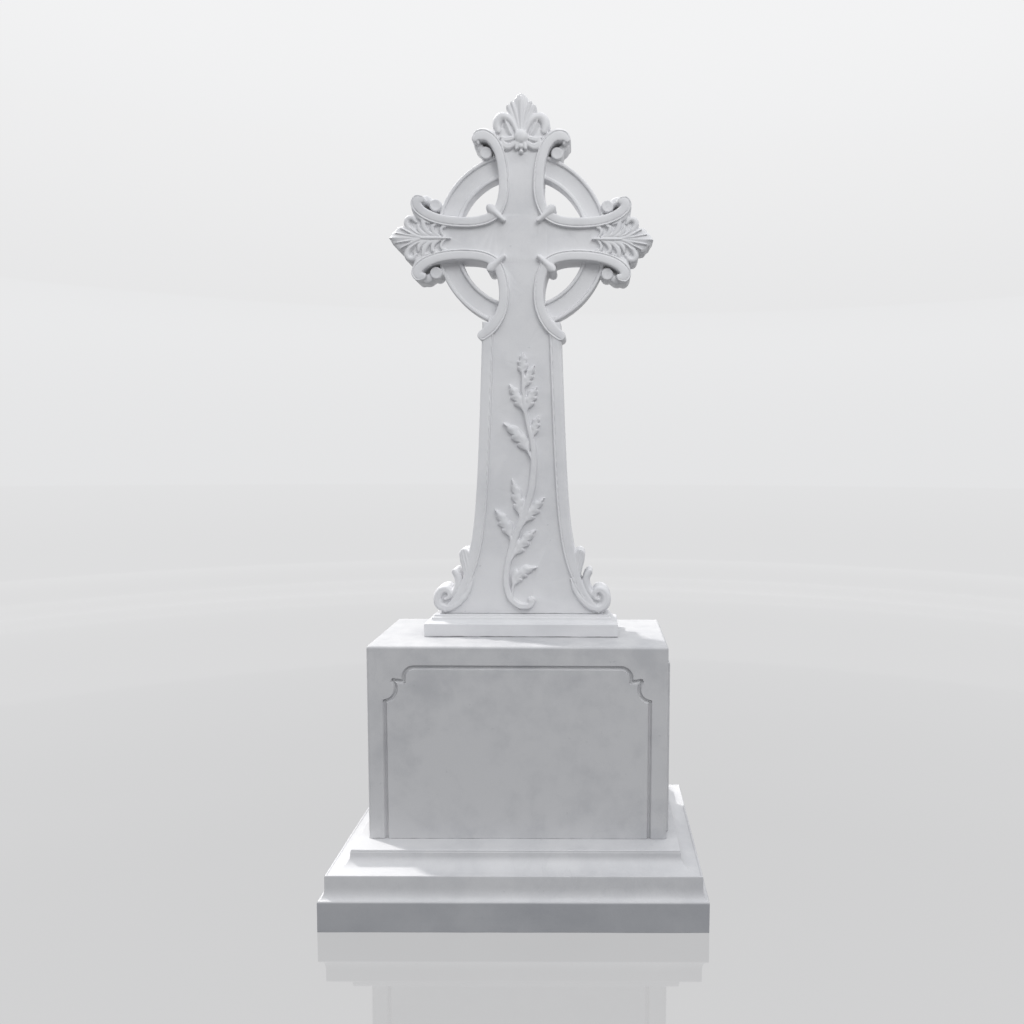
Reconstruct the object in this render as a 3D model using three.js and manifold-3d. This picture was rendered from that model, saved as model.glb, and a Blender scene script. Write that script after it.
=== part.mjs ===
// Celtic cross gravestone in pale marble: a stepped base, a die with an incised panel, a low moulded
// foot, and a cross carved from one stone. Millimetres, +Z up, the front faces -Y, and the origin is
// the middle of the underside. The cross is drawn about the middle of its ring.

import * as THREE from 'three';
import { mergeVertices } from 'three/addons/utils/BufferGeometryUtils.js';
import Module from 'manifold-3d';

const wasm = await Module();
wasm.setup();

// Stones, from the ground up
const JOINT = 0.3;
const BASE = { ledgeHalfX: 420, ledgeHalfY: 265, height: 182, middleOut: 52.5, bandOut: 67.5 };
const BASE_BAND_TOP = 76;
const BASE_MIDDLE = { top: 138, fascia: 28, step: 4 };
const DIE = { halfX: 390, halfY: 197.5, height: 512, edge: 5 };
const SIDE_PANEL = { halfY: 152, top: 460, proud: 8, rooted: 32 };
const PANEL = { halfX: 343, top: 455, grooveHalf: 4, depth: 6, clear: 5 };
const SHOULDER = { x: 267, radius: 27 };
const BITE = { x: 346.5, z: 398, radius: 32, from: 264, to: 150 };
const SPIKE = { x: 320, z: 421.5, stepZ: 418 };
const CORNER_STEPS = 5;
const FOOT = { halfX: 238, halfY: 55, height: 57, bandOut: 24, bandTop: 36 };
const FOOT_BOTTOM = BASE.height + DIE.height;
const HEAD_Z = 1754;
const CROSS_BOTTOM = FOOT_BOTTOM + FOOT.height - HEAD_Z;

// Depths of the cross, half of each thickness
const BAND_DEPTH = 50;
const FIELD_DEPTH = 41;
const LEAF_DEPTH = 47;
const COLLAR_DEPTH = 54;
const EYE_DEPTH = 36;

// Ring
const RING = { inner: 170, outer: 230, rim: 14, rimDepth: 25, panelDepth: 19, segments: 46 };

// Shaft: half width inside the border at the level where the lower bands have left it, its taper,
// and the sweep out to the foot
const SHAFT = { level: -262, inner: 75, slope: 0.036, flare: 103, flareLength: 91, flareLift: 10 };
const BORDER = { top: -217, half: 15.5, footLift: 8, steps: 12, bunching: 1.7 };
const BORDER_THINS = { from: 830, to: 985, by: 8 };

// Scrolled bands
const BAND_HALF = 13;
const BAND_CHAMFER = 3.5;
const COLLAR = { at: 68, halfLength: 29, halfWidth: 9.5 };
const EYE_RADIUS = 17;
const TOP_EYE = { x: 92, z: 226 };
const ARM_EYE = { x: 227, z: 90 };

// Scroll at each side of the foot of the shaft
const SCROLL = { x: 213, z: -964, radius: 30, shrink: 17, start: -80, sweep: 330, steps: 14 };
const SCROLL_CORE = { radius: 14, depth: 44 };

// Finials
const ARM_TIP = 351;
const TOP_TIP = 374;
const BOSS = { z: 261, radius: 17 };

// Vine
const VINE_FRONT = 50;

const MARBLE = { color: 0xd6d7db, roughness: 0.55, metalness: 0 };

function marble(tint) {
  const material = new THREE.MeshStandardMaterial(MARBLE);
  material.color.multiplyScalar(tint);
  return material;
}

function toSolid(geometry) {
  const bare = geometry.index ? geometry : geometry.clone();
  bare.deleteAttribute('normal');
  bare.deleteAttribute('uv');
  const merged = mergeVertices(bare, 1e-4);
  const mesh = new wasm.Mesh({
    numProp: 3,
    vertProperties: new Float32Array(merged.attributes.position.array),
    triVerts: new Uint32Array(merged.index.array),
  });
  return new wasm.Manifold(mesh);
}

function toGeometry(solid) {
  const mesh = solid.getMesh();
  const geometry = new THREE.BufferGeometry();
  geometry.setAttribute('position', new THREE.BufferAttribute(new Float32Array(mesh.vertProperties), 3));
  geometry.setIndex(new THREE.BufferAttribute(new Uint32Array(mesh.triVerts), 1));
  geometry.computeVertexNormals();
  return geometry;
}

function union(solids) {
  return solids.reduce((sum, solid) => sum.add(solid));
}

// A closed skin over a row of rings with equal numbers of points, flat at both ends
function loft(rings) {
  const count = rings[0].length;
  const points = rings.flat();
  const index = [];
  for (let ring = 0; ring + 1 < rings.length; ring += 1) {
    for (let side = 0; side < count; side += 1) {
      const next = (side + 1) % count;
      const a = ring * count + side;
      const b = ring * count + next;
      index.push(a, b, a + count, b, b + count, a + count);
    }
  }
  const last = (rings.length - 1) * count;
  for (let side = 1; side + 1 < count; side += 1) {
    index.push(0, side + 1, side);
    index.push(last, last + side, last + side + 1);
  }
  const geometry = new THREE.BufferGeometry().setFromPoints(points);
  geometry.setIndex(index);
  const solid = toSolid(geometry);
  if (solid.volume() > 0) return solid;
  geometry.index.array.reverse();
  return toSolid(geometry);
}

// Plate drawn in the front view, from yFront to yBack
function plate(outline, yFront, yBack) {
  const geometry = new THREE.ExtrudeGeometry(new THREE.Shape(outline), {
    depth: yBack - yFront,
    bevelEnabled: false,
  });
  geometry.rotateX(Math.PI / 2);
  geometry.translate(0, yBack, 0);
  return toSolid(geometry);
}

// Block with a moulded outline: the profile gives how far out the sides stand at each height
function moulded(halfX, halfY, profile) {
  return loft(profile.map(([out, z]) => [
    new THREE.Vector3(-halfX - out, -halfY - out, z),
    new THREE.Vector3(halfX + out, -halfY - out, z),
    new THREE.Vector3(halfX + out, halfY + out, z),
    new THREE.Vector3(-halfX - out, halfY + out, z),
  ]));
}

// Hollow quarter curve from a wall at (out0, top) to a lower edge at (out1, bottom)
function cavetto(out0, top, out1, bottom, steps) {
  return Array.from({ length: steps + 1 }, (_, step) => {
    const angle = (Math.PI / 2) * (step / steps);
    return [out1 - (out1 - out0) * Math.cos(angle), bottom + (top - bottom) * (1 - Math.sin(angle))];
  });
}

// Points along a chain of cubic curves: a start, then two handles and an end for each
function chain(points, steps) {
  const [start, ...rest] = points.map(([x, z]) => new THREE.Vector2(x, z));
  const path = [start];
  let from = start;
  for (let i = 0; i < rest.length; i += 3) {
    const curve = new THREE.CubicBezierCurve(from, rest[i], rest[i + 1], rest[i + 2]);
    path.push(...curve.getPoints(steps).slice(1));
    from = rest[i + 2];
  }
  return path;
}

function along(path, place) {
  return path.map((point, i) => {
    const before = path[Math.max(i - 1, 0)];
    const after = path[Math.min(i + 1, path.length - 1)];
    const way = after.clone().sub(before).normalize();
    const t = i / (path.length - 1);
    return place(point, new THREE.Vector2(-way.y, way.x), t);
  });
}

// Strip swept along a path in the front view, with chamfered edges on its front face
function band(path, halfWidth, halfDepth, chamfer = BAND_CHAMFER) {
  return loft(along(path, (point, normal, t) => {
    const w = halfWidth(t);
    const c = Math.min(chamfer, w * 0.5);
    const section = [
      [-w, -halfDepth + c], [-w + c, -halfDepth], [w - c, -halfDepth], [w, -halfDepth + c],
      [w, halfDepth], [-w, halfDepth],
    ];
    return section.map(([out, y]) => new THREE.Vector3(
      point.x + normal.x * out, y, point.y + normal.y * out,
    ));
  }));
}

// Leaf or lobe with a ridge down the middle of its front face and a plain back
function ridged(path, halfWidth, edgeDepth, ridgeDepth) {
  return loft(along(path, (point, normal, t) => {
    const w = halfWidth(t);
    const section = [
      [-w, -edgeDepth], [0, -ridgeDepth], [w, -edgeDepth], [w, edgeDepth], [-w, edgeDepth],
    ];
    return section.map(([out, y]) => new THREE.Vector3(
      point.x + normal.x * out, y, point.y + normal.y * out,
    ));
  }));
}

// Leaf or stem in relief on the front field only
function relief(path, halfWidth, edgeFront, ridgeFront) {
  const buried = FIELD_DEPTH - 4;
  return loft(along(path, (point, normal, t) => {
    const w = halfWidth(t);
    const section = [[-w, -buried], [-w, -edgeFront], [0, -ridgeFront], [w, -edgeFront], [w, -buried]];
    return section.map(([out, y]) => new THREE.Vector3(
      point.x + normal.x * out, y, point.y + normal.y * out,
    ));
  }));
}

// Width that follows a row of values spread evenly along the path
function widths(values) {
  return (t) => {
    const place = t * (values.length - 1);
    const i = Math.min(Math.floor(place), values.length - 2);
    return values[i] + (values[i + 1] - values[i]) * (place - i);
  };
}

function flipX(path) {
  return path.map((point) => new THREE.Vector2(-point.x, point.y));
}

function flipZ(path) {
  return path.map((point) => new THREE.Vector2(point.x, -point.y));
}

// Disc or turned boss with its axis along Y
function turned(x, z, profile, sides) {
  const geometry = new THREE.LatheGeometry(profile.map(([r, y]) => new THREE.Vector2(r, y)), sides);
  geometry.translate(x, 0, 0);
  const lathe = toSolid(geometry);
  return lathe.translate([0, 0, z]);
}

// Centre lines of the bands in the upper right quarter, and of the lower band that runs on to the shaft
const CORNER = [64, 66];
const armLine = chain([
  CORNER, [88, 44], [122, 40], [160, 41],
  [205, 42], [256, 53], [275, 82],
  [279, 94], [273, 101], [263, 99],
], 4);
const upperLine = chain([
  CORNER, [49, 92], [44, 118], [46, 150],
  [48, 195], [57, 248], [90, 263],
  [103, 268], [114, 264], [120, 256],
], 4);
const lowerLine = chain([
  [CORNER[0], -CORNER[1]], [49, -96], [43, -128], [48, -168],
  [53, -200], [72, -232], [104, -252],
], 5);

function shaftInner(z) {
  const down = SHAFT.level - z;
  const fromFoot = z - CROSS_BOTTOM - SHAFT.flareLift;
  return SHAFT.inner + SHAFT.slope * down + SHAFT.flare * Math.exp(-fromFoot / SHAFT.flareLength);
}

// Middle of the raised border, closer points where it sweeps out, thinner near the foot
const borderLine = Array.from({ length: BORDER.steps + 1 }, (_, i) => {
  const t = 1 - (1 - i / BORDER.steps) ** BORDER.bunching;
  const z = THREE.MathUtils.lerp(BORDER.top, CROSS_BOTTOM + BORDER.footLift, t);
  const thinning = THREE.MathUtils.smoothstep(-z, BORDER_THINS.from, BORDER_THINS.to);
  const half = BORDER.half - BORDER_THINS.by * thinning;
  return { z, half, x: shaftInner(z) + half };
});

function makeField() {
  const right = [
    new THREE.Vector2(0, 286),
    new THREE.Vector2(60, 272),
    ...upperLine.slice(1, 9).reverse(),
    ...armLine.slice(0, 9),
    new THREE.Vector2(294, 44),
    new THREE.Vector2(310, 22),
    new THREE.Vector2(310, -22),
    new THREE.Vector2(294, -44),
    ...flipZ(armLine.slice(0, 9)).reverse(),
    ...lowerLine.slice(1, 8),
    ...borderLine.slice(1).map(({ x, z }) => new THREE.Vector2(x, z)),
    new THREE.Vector2(borderLine.at(-1).x, CROSS_BOTTOM),
  ];
  const left = flipX(right.slice(1)).reverse();
  return plate([...right, ...left], -FIELD_DEPTH, FIELD_DEPTH);
}

function makeRing() {
  const { inner, outer, rim, rimDepth, panelDepth, segments } = RING;
  const profile = [
    [inner, -rimDepth], [inner + rim, -rimDepth], [inner + rim, -panelDepth],
    [outer - rim, -panelDepth], [outer - rim, -rimDepth], [outer, -rimDepth],
    [outer, rimDepth], [inner, rimDepth], [inner, -rimDepth],
  ];
  return turned(0, 0, profile, segments);
}

function makeBands() {
  const bandWidth = widths([0.9, 1, 1, 1, 1, 1.1, 1.15, 1, 0.6].map((k) => k * BAND_HALF));
  const tailWidth = widths([0.9, 1, 1, 1, 1, 1, 0.9, 0.35].map((k) => k * BAND_HALF));
  const lines = [
    [armLine, bandWidth],
    [flipZ(armLine), bandWidth],
    [upperLine, bandWidth],
    [lowerLine, tailWidth],
  ];
  const solids = [];
  for (const [line, width] of lines) {
    solids.push(band(line, width, BAND_DEPTH), band(flipX(line), width, BAND_DEPTH));
  }
  return solids;
}

// Second strand that wraps over the outer end of each band
function makeBrackets() {
  const top = chain([[58, 236], [62, 262], [76, 272], [92, 274], [108, 276], [120, 270], [121, 258]], 4);
  const topWidth = widths([3, 8, 12, 12, 11, 9, 5]);
  const arm = chain([[248, 44], [270, 50], [282, 64], [282, 80], [282, 96], [274, 101], [264, 101]], 3);
  const armWidth = widths([3, 8, 10, 10, 9, 6]);
  return [
    ...[top, flipX(top)].map((line) => band(line, topWidth, LEAF_DEPTH)),
    ...[arm, flipX(arm), flipZ(arm), flipX(flipZ(arm))].map((line) => band(line, armWidth, LEAF_DEPTH)),
  ];
}

function makeCollars() {
  const solids = [];
  for (const sx of [-1, 1]) {
    for (const sz of [-1, 1]) {
      const line = [-1, -0.8, 0.8, 1].map((t) => {
        const reach = COLLAR.at + (t * COLLAR.halfLength) / Math.SQRT2;
        return new THREE.Vector2(sx * reach, sz * reach);
      });
      const width = (t) => COLLAR.halfWidth * (t < 0.05 || t > 0.95 ? 0.6 : 1);
      solids.push(band(line, width, COLLAR_DEPTH, 4));
    }
  }
  return solids;
}

function makeEyes() {
  const profile = [[0, -EYE_DEPTH], [EYE_RADIUS - 4, -EYE_DEPTH], [EYE_RADIUS, -EYE_DEPTH + 4],
    [EYE_RADIUS, EYE_DEPTH], [0, EYE_DEPTH]];
  const places = [[TOP_EYE.x, TOP_EYE.z], [ARM_EYE.x, ARM_EYE.z], [ARM_EYE.x, -ARM_EYE.z]];
  return places.flatMap(([x, z]) => [turned(x, z, profile, 10), turned(-x, z, profile, 10)]);
}

function makeBorders() {
  const line = borderLine.map(({ x, z }) => new THREE.Vector2(x, z));
  const half = (t) => borderLine[Math.round(t * (borderLine.length - 1))].half;
  return [band(line, half, BAND_DEPTH), band(flipX(line), half, BAND_DEPTH)];
}

// Acanthus scroll beside the foot of the shaft: a spiral and two leaves that curl outwards
function makeScrolls() {
  const { x, z, radius, shrink, start, sweep, steps } = SCROLL;
  const spiral = Array.from({ length: steps + 1 }, (_, i) => {
    const t = i / steps;
    const angle = THREE.MathUtils.degToRad(start - sweep * t);
    const reach = radius - shrink * t;
    return new THREE.Vector2(x - reach * Math.cos(angle), z + reach * Math.sin(angle));
  });
  const upperCurl = chain([
    [152, -930], [132, -895], [140, -862], [152, -843],
    [156, -835], [163, -834], [168, -841],
  ], 4);
  const middleCurl = chain([
    [180, -950], [160, -925], [168, -895], [181, -889],
    [186, -888], [188, -893], [187, -898],
  ], 4);
  const leaf = widths([8, 12, 12, 12, 10, 8, 5]);
  const small = widths([8, 11, 11, 9, 6]);
  const drawn = [
    [spiral, widths([7, 8.5, 9, 9, 8, 6]), BAND_DEPTH],
    [upperCurl, leaf, LEAF_DEPTH],
    [middleCurl, small, LEAF_DEPTH - 1],
  ];
  const { radius: core, depth: coreDepth } = SCROLL_CORE;
  const coreProfile = [[0, -coreDepth], [core, -coreDepth], [core, coreDepth], [0, coreDepth]];
  const solids = [turned(x, z, coreProfile, 10), turned(-x, z, coreProfile, 10)];
  for (const [line, width, depth] of drawn) {
    solids.push(band(line, width, depth), band(flipX(line), width, depth));
  }
  return solids;
}

function makeArmFinial(side) {
  const turnTo = (path) => (side > 0 ? path : flipX(path));
  const both = (path, make) => [make(turnTo(path)), make(turnTo(flipZ(path)))];
  const middle = chain([[215, 0], [260, 0], [310, 0], [ARM_TIP, 0]], 9);
  const hook = chain([[232, 10], [262, 16], [284, 26], [301, 47]], 6);
  const solids = [ridged(turnTo(middle), widths([6, 10, 14, 19, 25, 31, 33, 29, 17, 1.5]), 34, 46)];
  solids.push(...both(hook, (path) => ridged(path, widths([5, 8, 11, 14, 15, 12, 4]), 36, 45)));
  const leaflets = [
    [[203, 4], [200, 14], [203, 22], [206, 30]],
    [[222, 6], [216, 16], [220, 26], [228, 36]],
    [[244, 8], [240, 22], [250, 36], [264, 48]],
  ];
  for (const leaflet of leaflets) {
    solids.push(...both(chain(leaflet, 3), (path) => ridged(path, widths([3, 7, 6, 1.5]), 43, LEAF_DEPTH)));
  }
  const stem = chain([[188, 0], [205, 0], [225, 0], [245, 0]], 3);
  solids.push(ridged(turnTo(stem), widths([1.5, 4, 5, 6]), 44, LEAF_DEPTH + 1));
  return solids;
}

function makeTopFinial() {
  const middle = chain([[0, 268], [0, 300], [0, 340], [0, TOP_TIP]], 8);
  const solids = [ridged(middle, widths([6, 9, 12, 15, 18, 21, 20, 14, 1.5]), 34, 44)];
  const mirrored = (path, make) => solids.push(make(path), make(flipX(path)));
  const flute = chain([[5, 280], [12, 306], [22, 328], [31, 347]], 4);
  mirrored(flute, (path) => ridged(path, widths([4, 8, 11, 11, 4]), 33, 40));
  const curl = chain([[10, 266], [16, 300], [34, 317], [50, 312], [64, 308], [68, 295], [64, 280]], 4);
  mirrored(curl, (path) => band(path, widths([5, 7, 10, 11, 13, 12, 8]), 46));
  const under = chain([[34, 262], [38, 256], [42, 250], [45, 238]], 3);
  mirrored(under, (path) => ridged(path, widths([8, 9, 9, 4]), 42, LEAF_DEPTH));
  const drop = chain([[8, 255], [10, 248], [14, 240], [18, 232]], 3);
  mirrored(drop, (path) => ridged(path, widths([5, 7, 6, 2]), 43, LEAF_DEPTH));
  const tip = chain([[0, 255], [0, 240], [0, 225], [0, 214]], 3);
  solids.push(ridged(tip, widths([6, 8, 6, 2]), 43, LEAF_DEPTH + 1));
  const { z, radius } = BOSS;
  const half = [[0, 55], [radius * 0.6, 53], [radius, 46]];
  const front = half.map(([r, y]) => [r, -y]);
  solids.push(turned(0, z, [...front, ...half.reverse()], 12));
  return solids;
}

// Vine: points along the stem, then leaves as root, handle and tip of a curve with a half width
const VINE_STEM = [
  [4, -346], [5, -407], [14, -476], [31, -548], [31, -620], [18, -696], [-20, -797], [-42, -890],
  [-36, -950], [-16, -975], [4, -982], [21, -979], [28, -967],
];
const VINE_LEAVES = [
  [2, -374, 3, -340, 3, -297, 14], [5, -410, 7, -375, 35, -331, 13],
  [11, -470, 0, -430, -33, -382, 16], [12, -470, 14, -430, 41, -388, 15],
  [31, -600, 16, -530, -49, -485, 18], [31, -545, 30, -500, 45, -464, 12],
  [-8, -765, 2, -710, -27, -635, 16], [-5, -775, 14, -735, 61, -685, 16],
  [-28, -820, -28, -770, -72, -718, 17], [-36, -870, -16, -820, 38, -772, 17],
  [-23, -967, -36, -885, 41, -875, 18],
];

function makeVine() {
  const stem = new THREE.SplineCurve(VINE_STEM.map(([x, z]) => new THREE.Vector2(x, z))).getPoints(21);
  const stemWidth = widths([3, 4, 5, 7, 9, 9, 9, 8, 8, 8, 8.5, 8.5, 9]);
  const solids = [relief(stem, stemWidth, VINE_FRONT - 4, VINE_FRONT)];
  for (const [rootX, rootZ, handleX, handleZ, tipX, tipZ, half] of VINE_LEAVES) {
    const line = new THREE.QuadraticBezierCurve(
      new THREE.Vector2(rootX, rootZ),
      new THREE.Vector2(handleX, handleZ),
      new THREE.Vector2(tipX, tipZ),
    ).getPoints(8);
    const saw = widths([0.25, 0.25, 0.3, 0.9, 0.65, 0.95, 0.55, 0.5, 0.08].map((k) => k * half));
    solids.push(relief(line, saw, VINE_FRONT - 5, VINE_FRONT - 1));
  }
  return solids;
}

function makeCross() {
  const parts = [
    makeField(), makeRing(), ...makeBands(), ...makeBrackets(), ...makeCollars(), ...makeEyes(),
    ...makeBorders(), ...makeScrolls(), ...makeArmFinial(1), ...makeArmFinial(-1), ...makeTopFinial(),
    ...makeVine(),
  ];
  const cut = 60;
  const below = new THREE.BoxGeometry(2 * ARM_TIP, 4 * BAND_DEPTH, cut);
  below.translate(0, 0, CROSS_BOTTOM - cut / 2);
  return union(parts).subtract(toSolid(below));
}

function makeBase() {
  const { ledgeHalfX, ledgeHalfY, height, middleOut, bandOut } = BASE;
  const { top: middleTop, fascia: middleFascia, step } = BASE_MIDDLE;
  const middleFoot = middleTop - middleFascia;
  const fascia = 16;
  const profile = [
    [0, height],
    ...cavetto(0, height - fascia, middleOut, middleTop, 5),
    [middleOut, middleFoot],
    ...cavetto(middleOut, middleFoot - step, bandOut, BASE_BAND_TOP + 3, 4),
    [bandOut, 0],
  ];
  return moulded(ledgeHalfX, ledgeHalfY, profile.reverse());
}

function makeFoot() {
  const { halfX, halfY, height, bandOut, bandTop } = FOOT;
  const profile = [
    [bandOut, 0], [bandOut, bandTop - 2], [bandOut - 2, bandTop],
    ...cavetto(5, height - 8, bandOut - 6, bandTop + 2, 4).reverse(),
    [0, height - 6], [0, height],
  ];
  return moulded(halfX, halfY, profile);
}

// Incised line on the die: up one side, round a bite to a spike, over a shoulder, along the top
function panelPath() {
  const { halfX, top, clear } = PANEL;
  const arc = (cx, cz, radius, from, to) => Array.from({ length: CORNER_STEPS + 1 }, (_, i) => {
    const angle = THREE.MathUtils.degToRad(from + ((to - from) * i) / CORNER_STEPS);
    return new THREE.Vector2(cx + radius * Math.cos(angle), cz + radius * Math.sin(angle));
  });
  const right = [
    new THREE.Vector2(halfX, -clear),
    ...arc(BITE.x, BITE.z, BITE.radius, BITE.from, BITE.to),
    new THREE.Vector2(SPIKE.x, SPIKE.z),
    new THREE.Vector2(SHOULDER.x + SHOULDER.radius, SPIKE.stepZ),
    ...arc(SHOULDER.x, top - SHOULDER.radius, SHOULDER.radius, 0, 90),
  ];
  return [...right, ...flipX(right).reverse()];
}

function makeDie() {
  const { halfX, halfY, height, edge } = DIE;
  const corner = (x, y) => [
    [x - Math.sign(x) * edge, y], [x, y - Math.sign(y) * edge],
  ];
  const ring = (z, inset) => {
    const x = halfX - inset;
    const y = halfY - inset;
    const points = [
      ...corner(-x, -y).reverse(), ...corner(x, -y), ...corner(x, y).reverse(), ...corner(-x, y),
    ];
    return points.map(([px, py]) => new THREE.Vector3(px, py, z));
  };
  let die = loft([ring(JOINT, 0), ring(height - edge, 0), ring(height - JOINT, edge)]);
  for (const side of [-1, 1]) {
    const { halfY: panelHalfY, top, proud, rooted } = SIDE_PANEL;
    const box = new THREE.BoxGeometry(proud + rooted, 2 * panelHalfY, top - JOINT);
    box.translate(side * (halfX + (proud - rooted) / 2), 0, (top + JOINT) / 2);
    die = die.add(toSolid(box));
  }
  const path = panelPath();
  const groove = loft(along(path, (point, normal) => {
    const w = PANEL.grooveHalf;
    const front = -halfY - PANEL.clear;
    const floor = -halfY + PANEL.depth;
    return [[-w, front], [w, front], [w * 0.5, floor], [-w * 0.5, floor]].map(([out, y]) => (
      new THREE.Vector3(point.x + normal.x * out, y, point.y + normal.y * out)
    ));
  }));
  return die.subtract(groove);
}

function stone(name, solid, z, tint) {
  const mesh = new THREE.Mesh(toGeometry(solid), marble(tint));
  mesh.name = name;
  mesh.position.z = z;
  return mesh;
}

const gravestone = new THREE.Group();
gravestone.add(
  stone('base', makeBase(), 0, 0.94),
  stone('die', makeDie(), BASE.height, 0.97),
  stone('foot', makeFoot(), FOOT_BOTTOM, 1),
  stone('cross', makeCross(), HEAD_Z + JOINT, 1),
);

export default gravestone;
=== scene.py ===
import math

import bpy
from mathutils import Matrix, Vector


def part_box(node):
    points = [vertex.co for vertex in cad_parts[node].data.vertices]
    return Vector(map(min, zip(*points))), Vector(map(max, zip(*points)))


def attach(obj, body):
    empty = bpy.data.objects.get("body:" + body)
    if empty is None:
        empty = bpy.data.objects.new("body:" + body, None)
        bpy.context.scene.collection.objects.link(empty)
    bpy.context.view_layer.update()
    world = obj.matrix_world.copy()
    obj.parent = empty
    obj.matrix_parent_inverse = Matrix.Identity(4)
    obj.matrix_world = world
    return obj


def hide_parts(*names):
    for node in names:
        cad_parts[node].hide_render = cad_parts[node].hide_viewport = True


bl_info = {
    "name": "Celtic cross gravestone",
    "version": (1, 0, 0),
    "blender": (4, 5, 0),
    "location": "View3D > Sidebar > Gravestone",
    "description": "Carves a marble memorial: base stone, panelled die, moulded foot and ringed cross",
    "category": "Object",
}

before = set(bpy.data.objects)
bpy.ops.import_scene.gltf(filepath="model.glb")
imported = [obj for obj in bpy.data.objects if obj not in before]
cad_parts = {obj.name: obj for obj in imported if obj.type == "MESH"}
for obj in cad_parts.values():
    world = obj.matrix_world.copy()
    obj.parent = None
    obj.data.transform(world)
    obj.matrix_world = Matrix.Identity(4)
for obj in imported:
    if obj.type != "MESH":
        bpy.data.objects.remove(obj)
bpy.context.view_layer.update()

MM = 0.001
BASE_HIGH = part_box("base")[1]
DIE_LOW, DIE_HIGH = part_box("die")
FOOT_LOW, FOOT_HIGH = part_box("foot")
CROSS_LOW, CROSS_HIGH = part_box("cross")
IMAGE_SIDE = 1024

# A stone with fewer faces than this is a plain one, whose flat faces are shaded flat
PLAIN_FACES = 60000

# The cross is drawn in millimetres about the middle of its ring, x to the right and z up
TOP_TIP = 374
HEAD_Z = CROSS_HIGH.z - TOP_TIP * MM
CROSS_BOTTOM = (CROSS_LOW.z - HEAD_Z) / MM


class StoneSizes(bpy.types.PropertyGroup):
    """Sizes that a mason would change"""

    edge_round: bpy.props.FloatProperty(
        name="Edge rounding", description="Radius of the worn arrises of the plain stones",
        default=0.0035, unit="LENGTH")
    die_round: bpy.props.FloatProperty(
        name="Die rounding", description="Radius of the die's corners", default=0.008, unit="LENGTH")
    groove_half: bpy.props.FloatProperty(
        name="Groove half width", description="Half the width of the incised line", default=0.0055,
        unit="LENGTH")
    groove_depth: bpy.props.FloatProperty(
        name="Groove depth", description="Depth of the incised line", default=0.0075, unit="LENGTH")
    wave: bpy.props.FloatProperty(
        name="Hand-worked wave", description="How far the hand-worked mouldings wander",
        default=0.0016, unit="LENGTH")
    grain_cut: bpy.props.FloatProperty(
        name="Finest cut", description="Finest detail kept when the carving is fused into one stone",
        default=0.00135, unit="LENGTH")
    triangles: bpy.props.IntProperty(
        name="Triangles", description="Triangles kept on the carved cross", default=188000)


class StoneFinish(bpy.types.PropertyGroup):
    """Colours and polish of the marble"""

    marble: bpy.props.FloatVectorProperty(
        name="Marble", description="Colour of the clean stone", subtype="COLOR", size=3,
        default=(0.66, 0.66, 0.675))
    cloud: bpy.props.FloatVectorProperty(
        name="Cloud", description="Colour of the grey clouds", subtype="COLOR", size=3,
        default=(0.50, 0.505, 0.53))
    vein: bpy.props.FloatVectorProperty(
        name="Vein", description="Colour of the thin veins", subtype="COLOR", size=3,
        default=(0.40, 0.405, 0.43))
    roughness: bpy.props.FloatProperty(
        name="Roughness", description="Roughness of the honed face", default=0.5, subtype="FACTOR")


class StudioSettings(bpy.types.PropertyGroup):
    """Camera and lights"""

    camera_place: bpy.props.FloatVectorProperty(
        name="Camera", description="Where the camera stands", subtype="TRANSLATION", size=3,
        default=(0.1922, -2.4815, 1.1819))
    camera_turn: bpy.props.FloatVectorProperty(
        name="Camera turn", description="Downward tilt, turn about the upright and roll",
        subtype="EULER", size=3, default=(0.0834, -0.0060, 0.0050))
    lens: bpy.props.FloatProperty(name="Lens", description="Focal length in millimetres", default=31.64)
    axis_x: bpy.props.FloatProperty(
        name="Axis across", description="Picture column of the lens axis", default=598)
    axis_y: bpy.props.FloatProperty(
        name="Axis down", description="Picture row of the lens axis", default=531.6)
    sun: bpy.props.FloatProperty(name="Sun", description="Strength of the light from behind", default=2.6)
    softbox: bpy.props.FloatProperty(
        name="Softbox", description="Power of the soft light above the camera, in watts", default=38)
    sky: bpy.props.FloatProperty(name="Sky", description="Strength of the light from above", default=1.2)
    ground: bpy.props.FloatProperty(
        name="Ground", description="Strength of the light from below", default=0.25)


# Plane geometry of the carved lines


def bezier_chain(points, steps):
    """Points along joined cubic curves: a start, then two handles and an end for each"""
    path = [Vector(points[0])]
    for first in range(1, len(points) - 2, 3):
        a = path[-1]
        b, c, d = (Vector(point) for point in points[first:first + 3])
        for step in range(1, steps + 1):
            t = step / steps
            s = 1 - t
            path.append(a * s ** 3 + b * 3 * s * s * t + c * 3 * s * t * t + d * t ** 3)
    return path


def smooth_path(points, steps):
    """Points along a smooth curve that runs through every given point"""
    knots = [Vector(point) for point in points]
    knots = [2 * knots[0] - knots[1]] + knots + [2 * knots[-1] - knots[-2]]
    path = []
    for a, b, c, d in zip(knots, knots[1:], knots[2:], knots[3:]):
        for step in range(steps):
            t = step / steps
            path.append(0.5 * (2 * b + (c - a) * t + (2 * a - 5 * b + 4 * c - d) * t ** 2
                               + (3 * b - a - 3 * c + d) * t ** 3))
    return path + [knots[-2]]


def widths(values):
    """A width that runs smoothly through a row of values spread evenly along the path"""
    def width(t):
        place = t * (len(values) - 1)
        i = min(int(place), len(values) - 2)
        ease = place - i
        ease = ease * ease * (3 - 2 * ease)
        return values[i] + (values[i + 1] - values[i]) * ease
    return width


def flip_x(path):
    return [Vector((-x, z)) for x, z in path]


def flip_z(path):
    return [Vector((x, -z)) for x, z in path]


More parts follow.
